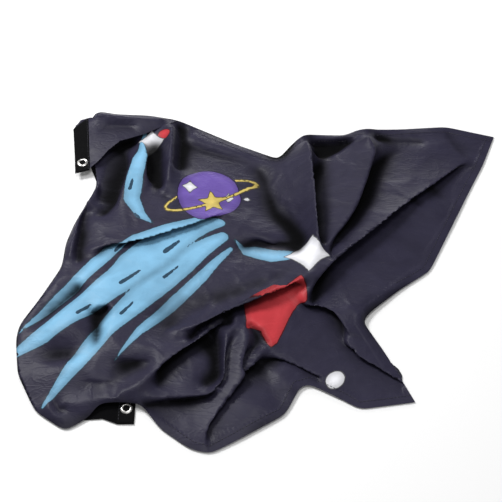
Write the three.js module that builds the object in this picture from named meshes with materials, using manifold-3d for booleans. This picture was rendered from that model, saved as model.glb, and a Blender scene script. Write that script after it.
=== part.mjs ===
// Printed cape cloth with a heading tape and two eyelets, lying crumpled on a flat surface.
// Millimetres, +Z up. The cloth is one rectangular panel. The fold shapes are those of one way of lying.
import * as THREE from "three";
import { mergeVertices } from "three/addons/utils/BufferGeometryUtils.js";
import Module from "manifold-3d";

const wasm = await Module();
wasm.setup();

// ---- Cut sizes of the cloth -------------------------------------------------------------------
const PANEL_WIDTH = 915; // heading edge to fly edge, before it is laid down
const PANEL_HEIGHT = 610; // bottom hem to top hem, before it is laid down
const LAID_WIDTH = 915; // the panel width that the fold plan below was drawn for
const LAID_HEIGHT = 610; // the panel height that the fold plan below was drawn for

// ---- Thicknesses, widths and clearances ---------------------------------------------------------
const CLOTH_BULK = 2; // hemmed and gathered cloth as one solid
const CORNER_BULK = 1.5; // the single layer of the bottom corner
const TAPE_WIDTH = 22;
const TAPE_THICKNESS = 1.6; // two plies of woven tape with the cloth between
const PIECE_GAP = 0.35; // air between one piece and the next
const HEM_WIDTH = 9; // hem edge to its stitch row
const TURN_SHARE = 0.75; // a row's corners may come this much nearer to the edge in a turn
const THREAD_WIDTH = 1.1;
const THREAD_HEIGHT = 0.6;
const TAPE_STITCH_INSET = 2; // from the tape's inner edge

// ---- Eyelets ------------------------------------------------------------------------------------
const EYELET_BORE = 8;
const EYELET_WALL = 0.5;
const FLANGE_DIAMETER = 16;
const FLANGE_THICKNESS = 0.7;
const LOWER_EYELET_INSET = 22; // hole centre to the tape's low end
const UPPER_EYELET_INSET = 18.3; // hole centre to the tape's turned end, along its edge
const EYELET_SIDES = 40;
const BARREL_DIAMETER = EYELET_BORE + 2 * EYELET_WALL;
const TAPE_HOLE = BARREL_DIAMETER + 2 * PIECE_GAP;

// ---- How it lies --------------------------------------------------------------------------------
const GRID = 13; // spacing of the surface points
const FLAP_TIP_HEIGHT = 12; // top face of the turned corner at its tip
const FLAP_FOLD_HEIGHT = 27; // top face of the turned corner along its fold
const TAPE_REST = FLANGE_THICKNESS + PIECE_GAP; // underside of the tape's low run
const FLAP_SLOPE_REACH = 60; // from the corner fold to where the turned corner is level
const TAPE_ROOM_RISE = 2; // air over the tape's low run
const FOLD_SLOPE = 1; // rise of the corner fold for each millimetre across the tape
const END_SLOPE = 0.18; // rise of the tape's turned end for each millimetre across it
const CUT_LOW = -20; // below and above every piece, for the tools that cut through
const CUT_HIGH = 120;

// Outline of the laid cloth, clockwise from the end of the corner fold: x, y and edge height.
const OUTLINE = [
  [-112, 287, 16], [-71, 274, 5], [-24, 250, 3], [41, 219, 3], [62, 240, 14], [78, 246, 30],
  [98, 258, 14], [144, 267, 6], [160, 266, 16], [175, 262, 24], [192, 274, 8], [229, 278, 4],
  [299, 284, 3], [371, 265, 2.4], [347, 210, 3], [322, 163, 2.6], [293, 107, 3], [247, 18, 3],
  [203, -13, 5], [162, -48, 8], [148, -65, 9], [175, -113, 5], [208, -181, 2.4], [137, -191, 2.4],
  [119, -180, 2.6], [73, -156, 4], [63, -160, 5], [43, -199, 3], [-14, -232, 3], [-50, -251, 2.4],
  [-75, -245, 2.4], [-113, -218, 3], [-138, -190, 9], [-165, -190, 12], [-191, -189, 9],
  [-203, -203, 2.2], [-231, -221, 2.2], [-272, -194, 3], [-300, -143, 6], [-309, -92, 7],
  [-307, -70, 7], [-285, -30, 8], [-261, 22, 8], [-260, 61, 8], [-251, 97, 8], [-226, 162, 7],
  [-229, 190, 8], [-240, 225, 14], [-243, 288, 26], [-234, 297, 26], [-197, 294, 25],
  [-154, 293, 23],
];

// Height of the cloth away from its edges: x, y and height.
const LEVELS = [
  [-200, 130, 10], [-60, 200, 8], [-60, 140, 11], [-120, 50, 14], [-190, -20, 14],
  [-250, -100, 12], [-210, -150, 13], [-30, 40, 10], [20, 150, 7], [50, 90, 12], [110, 215, 5],
  [150, 90, 6], [230, 200, 7], [300, 220, 5], [200, 60, 8], [250, 90, 6], [130, -10, 9],
  [100, -110, 5], [150, -160, 4], [-90, -110, 8], [-70, -215, 6], [20, -160, 7], [-150, -150, 12],
];

// Crests of the folds: points along the crest as x, y and rise, then the width of each side.
const FOLDS = {
  corner_fold: { crest: [[-240, 290, 10], [-197, 290, 12], [-120, 282, 6]], side: 16 },
  pinch: { crest: [[-112, 268, 14], [-119, 201, 18], [-124, 134, 5]], side: 13 },
  pleat: { crest: [[77, 239, 16], [82, 155, 26], [84, 88, 22], [85, 22, 12]], side: 22 },
  second: { crest: [[173, 255, 12], [161, 163, 18], [133, 94, 16], [102, 23, 10]], side: 16 },
  diagonal: { crest: [[87, 9, 12], [131, 61, 14], [213, 124, 12], [354, 247, 2]], side: 17 },
  chest: { crest: [[-218, 63, 5], [-170, 71, 8], [-107, 88, 8], [-37, 118, 2]], side: 13 },
  thigh: { crest: [[-249, 26, 3], [-207, 16, 6], [-158, -3, 6], [-109, -20, 2]], side: 14 },
  spread: { crest: [[80, -1, 12], [25, -23, 16], [-34, -50, 16], [-119, -91, 6]], side: 17 },
  pocket: { crest: [[-8, -70, 8], [-33, -151, 12], [-58, -178, 10], [-126, -184, 3]], side: 13 },
  hollow_edge: { crest: [[5, -98, 8], [-1, -128, 9], [-20, -183, 8], [-54, -235, 2]], side: 13 },
  wing: { crest: [[92, -62, 4], [138, -58, 5], [190, -12, 3]], side: 14 },
};

// The corner turned back over the cloth: its fold, its hem, and the outer edge of its tape.
const CORNER_FOLD = [[-234, 296], [-197, 293], [-154, 292], [-111, 284]];
const CORNER_HEM = [[-152, 256], [-204, 246]];
const CORNER_HEM_END = [7, 9]; // where the hem turns up to the tape, from the tape's inner end
const TIP = [-259, 187];
const FOLD_END = [-268, 262];

// The tape's low run under the cloth, from below the corner fold to its low end.
const LOW_RUN = [[-206, 152], [-164, 40], [-157, -60], [-157, -211]];

// The bottom corner that shows beside the tape's low end, from near the end to where the body covers it.
const BOTTOM_CORNER = [[-200, -199], [-226, -210], [-235, -195], [-215, -150]];
const BOTTOM_CORNER_TOP = -140;

// ---- Plan and height helpers ---------------------------------------------------------------------
const SCALE_X = PANEL_WIDTH / LAID_WIDTH;
const SCALE_Y = PANEL_HEIGHT / LAID_HEIGHT;

/** Moves a plan point with the panel's size. */
function place(point) {
  return [point[0] * SCALE_X, point[1] * SCALE_Y, ...point.slice(2)];
}

/** Distance from (x, y) to a segment, and how far along it the nearest point is. */
function nearSegment(x, y, a, b) {
  const dx = b[0] - a[0];
  const dy = b[1] - a[1];
  const along = ((x - a[0]) * dx + (y - a[1]) * dy) / (dx * dx + dy * dy);
  const t = Math.min(1, Math.max(0, along));
  return { distance: Math.hypot(x - a[0] - t * dx, y - a[1] - t * dy), t };
}

/** Rise of one fold at (x, y): its crest height there, falling away on each side. */
function foldRise(fold, x, y) {
  let rise = 0;
  for (let i = 0; i + 1 < fold.crest.length; i += 1) {
    const a = place(fold.crest[i]);
    const b = place(fold.crest[i + 1]);
    const near = nearSegment(x, y, a, b);
    const height = a[2] + (b[2] - a[2]) * near.t;
    rise = Math.max(rise, height * Math.exp(-((near.distance / fold.side) ** 2)));
  }
  return rise;
}

/** Height of the cloth's top face at (x, y). */
function clothTop(x, y) {
  let weights = 0;
  let sum = 0;
  for (const point of [...OUTLINE, ...LEVELS]) {
    const [px, py, pz] = place(point);
    const weight = 1 / (Math.hypot(x - px, y - py) + 1) ** 3;
    weights += weight;
    sum += weight * pz;
  }
  let rise = 0;
  for (const fold of Object.values(FOLDS)) {
    rise = Math.max(rise, foldRise(fold, x, y));
  }
  return Math.max(sum / weights + rise, CLOTH_BULK);
}

/** Height of the turned corner's top face at (x, y): high along its fold, low at its tip. */
function cornerTop(x, y) {
  const a = place(CORNER_FOLD[0]);
  const b = place(CORNER_FOLD[CORNER_FOLD.length - 1]);
  const near = nearSegment(x, y, a, b);
  const reach = Math.min(1, near.distance / FLAP_SLOPE_REACH);
  const drop = (FLAP_FOLD_HEIGHT - FLAP_TIP_HEIGHT) * reach;
  return FLAP_FOLD_HEIGHT - drop;
}

// ---- Solid helpers -------------------------------------------------------------------------------

/** Closed three.js geometry as a solid that can be joined and cut. */
function solidOf(geometry) {
  geometry.deleteAttribute("normal");
  geometry.deleteAttribute("uv");
  const merged = mergeVertices(geometry);
  const mesh = new wasm.Mesh({
    numProp: 3,
    vertProperties: new Float32Array(merged.attributes.position.array),
    triVerts: new Uint32Array(merged.index.array),
  });
  return new wasm.Manifold(mesh);
}

/** Solid as a three.js geometry. */
function geometryOf(solid) {
  const source = solid.getMesh();
  const geometry = new THREE.BufferGeometry();
  geometry.setAttribute("position", new THREE.BufferAttribute(source.vertProperties, 3));
  geometry.setIndex(new THREE.BufferAttribute(source.triVerts, 1));
  return mergeVertices(geometry);
}

/** Upright prism on a plan outline. */
function prism(outline, low, high) {
  const shape = new THREE.Shape(outline.map(([x, y]) => new THREE.Vector2(x, y)));
  const geometry = new THREE.ExtrudeGeometry(shape, { depth: high - low, bevelEnabled: false });
  return solidOf(geometry.translate(0, 0, low));
}

/** Sheet whose top face follows top(x, y), with the given thickness, cut to the plan of a tool. */
function sheetOver(tool, top, thickness) {
  const bounds = tool.boundingBox();
  const [x0, y0] = bounds.min.map((v) => Math.floor(v / GRID) - 1);
  const [x1, y1] = bounds.max.map((v) => Math.ceil(v / GRID) + 1);
  const block = new THREE.BoxGeometry((x1 - x0) * GRID, (y1 - y0) * GRID, 1, x1 - x0, y1 - y0, 1);
  block.translate(((x0 + x1) / 2) * GRID, ((y0 + y1) / 2) * GRID, 0);
  const corners = block.attributes.position;
  for (let i = 0; i < corners.count; i += 1) {
    const upper = corners.getZ(i) > 0;
    corners.setZ(i, upper ? top(corners.getX(i), corners.getY(i)) : CUT_LOW);
  }
  const filled = solidOf(block);
  return filled.subtract(filled.translate(0, 0, -thickness)).intersect(tool);
}

/** Upright tool on a plan outline, through the whole height. */
function cutter(outline) {
  return prism(outline, CUT_LOW, CUT_HIGH);
}

/** Upright tool along a path: a wall for each straight stretch, half a width longer at both ends. */
function wallAlong(path, width) {
  const walls = path.slice(1).map(([x, y], i) => {
    const [px, py] = path[i];
    const length = Math.hypot(x - px, y - py) + width;
    const wall = new THREE.BoxGeometry(length, width, CUT_HIGH - CUT_LOW);
    wall.rotateZ(Math.atan2(y - py, x - px));
    return solidOf(wall.translate((x + px) / 2, (y + py) / 2, (CUT_LOW + CUT_HIGH) / 2));
  });
  return walls.reduce((joined, wall) => joined.add(wall));
}

/** Path moved sideways to its left by offset. */
function movedPath(path, offset) {
  return path.map(([x, y], i) => {
    const before = path[Math.max(0, i - 1)];
    const after = path[Math.min(path.length - 1, i + 1)];
    const length = Math.hypot(after[0] - before[0], after[1] - before[1]);
    const share = offset / length;
    return [x - (after[1] - before[1]) * share, y + (after[0] - before[0]) * share];
  });
}

/** Path of a stitch row set in from an edge, without the points that a tight turn would fold back. */
function rowInside(edge, inset) {
  return movedPath(edge, -inset).filter(([x, y]) =>
    edge.slice(1).every((end, i) => nearSegment(x, y, edge[i], end).distance >= inset * TURN_SHARE),
  );
}

/** Plan band of the given width along the middle of a path. */
function band(path, width) {
  return [...movedPath(path, width / 2), ...movedPath(path, -width / 2).reverse()];
}

/** Solid of revolution about an upright axis, from a closed profile of radius and height. */
function turned(profile) {
  const points = [...profile, profile[0]].map(([r, z]) => new THREE.Vector2(r, z));
  return new THREE.LatheGeometry(points, EYELET_SIDES).rotateX(Math.PI / 2);
}

/** Upright round tool that cuts a hole at a plan point. */
function drill(diameter, centre) {
  const round = new THREE.CylinderGeometry(diameter / 2, diameter / 2, CUT_HIGH - CUT_LOW, EYELET_SIDES);
  round.rotateX(Math.PI / 2);
  return solidOf(round.translate(centre[0], centre[1], (CUT_LOW + CUT_HIGH) / 2));
}

/** Named mesh with its finish. */
function piece(name, geometry, finish) {
  const mesh = new THREE.Mesh(geometry, new THREE.MeshStandardMaterial(finish));
  mesh.name = name;
  return mesh;
}

// ---- Where the tape and its eyelets lie ------------------------------------------------------------

const tapeTopLow = TAPE_REST + TAPE_THICKNESS;
const tapeTopHigh = FLAP_TIP_HEIGHT;
const tip = place(TIP);
const foldEnd = place(FOLD_END);
const tipInner = [tip[0] + TAPE_WIDTH, tip[1] + END_SLOPE * TAPE_WIDTH];
const foldInner = [foldEnd[0] + TAPE_WIDTH, foldEnd[1] + FOLD_SLOPE * TAPE_WIDTH];
const lowRun = [[(foldEnd[0] + foldInner[0]) / 2, (foldEnd[1] + foldInner[1]) / 2], ...LOW_RUN.map(place)];
const lowEnd = lowRun[lowRun.length - 1];
const lowBend = lowRun[lowRun.length - 2];
const lowerHole = [lowEnd[0], lowEnd[1] + LOWER_EYELET_INSET];

/** Point at distances along the tape's turned end and across it, from its outer tip. */
function onTurnedTape(along, across) {
  const length = Math.hypot(foldEnd[0] - tip[0], foldEnd[1] - tip[1]);
  const ux = (foldEnd[0] - tip[0]) / length;
  const uy = (foldEnd[1] - tip[1]) / length;
  return [tip[0] + ux * along + uy * across, tip[1] + uy * along - ux * across];
}

const upperHole = onTurnedTape(UPPER_EYELET_INSET, TAPE_WIDTH / 2);

// The tape's stitch rows run near its inner edge, and pass beside the eyelets' flanges.
const besideFlange = (TAPE_WIDTH - FLANGE_DIAMETER - PIECE_GAP - THREAD_WIDTH) / 2;
const tapeRowInset = Math.min(TAPE_STITCH_INSET, besideFlange);

/** Height of the tape's turned end: level round the eyelet, then rising to the fold. */
function tapeHeight(x, y) {
  const start = upperHole[1] + FLANGE_DIAMETER / 2 + GRID;
  const t = Math.min(1, Math.max(0, (y - start) / (foldInner[1] - start)));
  return tapeTopHigh + (FLAP_FOLD_HEIGHT - tapeTopHigh) * t;
}

/** Plan of the tape's turned end, with room added on the cloth's side of it. */
function turnedTape(room) {
  return [foldEnd, [foldInner[0] + room, foldInner[1]], [tipInner[0] + room, tipInner[1]], tip];
}

/** Plan of the short upright length of tape where it goes round the corner fold. */
function foldStrip(extra) {
  return band([foldEnd, foldInner], TAPE_THICKNESS + extra);
}

// ---- Pieces --------------------------------------------------------------------------------------

/** The cloth: laid body, turned corner and the bottom corner that shows under it. */
function printedPanel() {
  const bodyPlan = cutter(OUTLINE.map(place)).subtract(cutter(turnedTape(PIECE_GAP)));
  const body = sheetOver(bodyPlan, clothTop, CLOTH_BULK);
  const corner = [
    [foldInner[0] + PIECE_GAP, foldInner[1]],
    ...CORNER_FOLD.map(place),
    ...CORNER_HEM.map(place),
    [tipInner[0] + CORNER_HEM_END[0], tipInner[1] + CORNER_HEM_END[1]],
    [tipInner[0] + PIECE_GAP, tipInner[1]],
  ];
  const over = sheetOver(cutter(corner), cornerTop, CLOTH_BULK);
  const tapeSide = lowEnd[0] - TAPE_WIDTH / 2 - PIECE_GAP;
  const low = [[tapeSide, lowEnd[1]], ...BOTTOM_CORNER.map(place), place([0, BOTTOM_CORNER_TOP])];
  low[low.length - 1][0] = tapeSide;
  const under = prism(low, 0, CORNER_BULK);
  const tapeRoom = prism(band(lowRun, TAPE_WIDTH + 2 * PIECE_GAP), CUT_LOW, tapeTopLow + TAPE_ROOM_RISE);
  const foldRoom = cutter(foldStrip(2 * PIECE_GAP));
  return body.add(over).add(under).subtract(tapeRoom).subtract(foldRoom);
}

/** The heading tape: turned end on the corner, the fold, and the low run under the cloth. */
function headingTape() {
  const end = sheetOver(cutter(turnedTape(0)), tapeHeight, TAPE_THICKNESS);
  const round = prism(foldStrip(0), TAPE_REST, FLAP_FOLD_HEIGHT - TAPE_THICKNESS / 2);
  const low = prism(band(lowRun, TAPE_WIDTH), TAPE_REST, tapeTopLow);
  const joined = end.add(round).add(low);
  return joined.subtract(drill(TAPE_HOLE, upperHole)).subtract(drill(TAPE_HOLE, lowerHole));
}

/** Eyelet, from the tape's top face: the flange over it, and the barrel that passes through it. */
function eyelet() {
  const seat = PIECE_GAP / 2;
  const tail = -TAPE_THICKNESS - PIECE_GAP / 2 - FLANGE_THICKNESS;
  return turned([
    [EYELET_BORE / 2, tail],
    [BARREL_DIAMETER / 2, tail],
    [BARREL_DIAMETER / 2, seat],
    [FLANGE_DIAMETER / 2, seat],
    [FLANGE_DIAMETER / 2, seat + FLANGE_THICKNESS],
    [EYELET_BORE / 2, seat + FLANGE_THICKNESS],
  ]);
}

/** Washer, from the tape's top face: the ring under the tape that the barrel is rolled over. */
function washer() {
  const top = -TAPE_THICKNESS - PIECE_GAP / 2;
  const hole = (BARREL_DIAMETER + PIECE_GAP) / 2;
  return turned([
    [hole, top - FLANGE_THICKNESS],
    [FLANGE_DIAMETER / 2, top - FLANGE_THICKNESS],
    [FLANGE_DIAMETER / 2, top],
    [hole, top],
  ]);
}

/** A stitch row: a fine thread laid along a placed path, over a surface. */
function stitchRow(path, top) {
  const raised = (x, y) => top(x, y) + PIECE_GAP + THREAD_HEIGHT;
  return geometryOf(sheetOver(wallAlong(path, THREAD_WIDTH), raised, THREAD_HEIGHT));
}

/** Stitch row along a hem, without the edge's end points, so that rows on neighbouring edges stay apart. */
function hemRow(first, last) {
  return stitchRow(rowInside(OUTLINE.slice(first + 1, last).map(place), HEM_WIDTH), clothTop);
}

/** Stitch row inside the inner edge of the tape's turned end. */
function upperTapeRow() {
  const across = TAPE_WIDTH - tapeRowInset;
  const start = onTurnedTape(UPPER_EYELET_INSET / 2, across);
  const end = onTurnedTape(foldEnd[1] - tip[1], across);
  return stitchRow([start, end], tapeHeight);
}

/** Stitch row inside the inner edge of the tape's low run, from its end to its first bend. */
function lowerTapeRow() {
  const x = lowEnd[0] - TAPE_WIDTH / 2 + tapeRowInset;
  return stitchRow([[x, lowEnd[1] + HEM_WIDTH / 2], [x, lowBend[1]]], () => tapeTopLow);
}

const CLOTH = { color: 0x2b2a3a, roughness: 0.6, metalness: 0 };
const TAPE = { color: 0x101012, roughness: 0.85, metalness: 0 };
const NICKEL = { color: 0xb9bcc0, roughness: 0.3, metalness: 1 };
const THREAD = { color: 0x1c1b26, roughness: 0.5, metalness: 0 };

/** Group at one eyelet's place on the tape, holding the eyelet and its washer. */
function fastening(side, hole, height) {
  const made = new THREE.Group();
  made.position.set(hole[0], hole[1], height);
  made.add(piece(`${side}_eyelet`, eyelet(), NICKEL), piece(`${side}_washer`, washer(), NICKEL));
  return made;
}

const cape = new THREE.Group();
cape.name = "printed_cape";
cape.add(
  piece("printed_panel", geometryOf(printedPanel()), CLOTH),
  piece("heading_tape", geometryOf(headingTape()), TAPE),
  fastening("upper", upperHole, tapeTopHigh),
  fastening("lower", lowerHole, tapeTopLow),
  piece("top_hem_stitch", hemRow(1, 13), THREAD),
  piece("fly_hem_stitch", hemRow(13, 19), THREAD),
  piece("bottom_hem_stitch", hemRow(22, 31), THREAD),
  piece("upper_tape_stitch", upperTapeRow(), THREAD),
  piece("lower_tape_stitch", lowerTapeRow(), THREAD),
);

// The frame's origin is the middle of the box's underside.
const box = new THREE.Box3().setFromObject(cape);
cape.position.set(-(box.min.x + box.max.x) / 2, -(box.min.y + box.max.y) / 2, -box.min.z);

export default cape;
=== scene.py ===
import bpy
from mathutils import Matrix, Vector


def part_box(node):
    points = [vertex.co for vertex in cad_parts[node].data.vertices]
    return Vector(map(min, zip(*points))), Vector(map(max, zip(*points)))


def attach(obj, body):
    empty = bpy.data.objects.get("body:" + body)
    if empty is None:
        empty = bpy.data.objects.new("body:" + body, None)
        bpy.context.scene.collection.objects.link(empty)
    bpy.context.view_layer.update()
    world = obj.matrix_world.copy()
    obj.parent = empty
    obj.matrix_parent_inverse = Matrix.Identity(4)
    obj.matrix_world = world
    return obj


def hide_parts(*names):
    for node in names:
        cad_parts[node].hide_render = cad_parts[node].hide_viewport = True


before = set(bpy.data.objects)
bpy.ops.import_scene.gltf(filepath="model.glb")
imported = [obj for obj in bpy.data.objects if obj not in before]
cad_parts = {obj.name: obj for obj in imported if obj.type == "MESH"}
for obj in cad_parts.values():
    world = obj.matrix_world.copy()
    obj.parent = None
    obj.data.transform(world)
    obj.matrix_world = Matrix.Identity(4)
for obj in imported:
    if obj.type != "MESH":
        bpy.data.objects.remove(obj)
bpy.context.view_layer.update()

import math

import bmesh
import bpy
import numpy as np
from mathutils import Vector, noise
from mathutils.bvhtree import BVHTree
from mathutils.geometry import delaunay_2d_cdt

bl_info = {
    "name": "Crumpled printed cape",
    "version": (1, 0, 0),
    "blender": (4, 5, 0),
    "location": "3D View > Sidebar > Cape",
    "description": "Lays a printed cape cloth in folds, with its tape, eyelets and stitching",
    "category": "Add Mesh",
}

MM = 0.001

# ---- Fold plan, in millimetres ------------------------------------------------------------------
# Laid outline, clockwise from the end of the corner fold: x, y and edge height.
OUTLINE = [
    (-112, 287, 16), (-71, 274, 5), (-24, 250, 3), (41, 219, 4), (62, 240, 15), (78, 246, 30),
    (98, 258, 15), (144, 262, 9), (160, 266, 17), (175, 262, 25), (192, 274, 9), (229, 278, 5),
    (299, 284, 4), (371, 265, 2), (347, 210, 3), (322, 163, 3), (293, 107, 4), (247, 18, 3),
    (203, -13, 4), (162, -48, 6), (148, -65, 8), (175, -113, 6), (208, -181, 2), (137, -191, 2),
    (119, -180, 3), (73, -156, 5), (63, -160, 5), (43, -199, 4), (-14, -232, 4), (-50, -251, 3),
    (-75, -245, 3), (-113, -218, 3), (-138, -187, 10), (-165, -185, 11), (-191, -186, 10),
    (-203, -203, 4), (-231, -221, 3), (-272, -194, 4), (-300, -143, 6), (-309, -92, 7),
    (-307, -70, 7), (-285, -30, 8), (-261, 22, 8), (-260, 61, 8), (-251, 97, 8), (-226, 162, 8),
    (-229, 190, 8), (-240, 225, 9), (-243, 286, 24), (-234, 296, 27), (-207, 291, 25),
    (-154, 291, 22),
]

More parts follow.
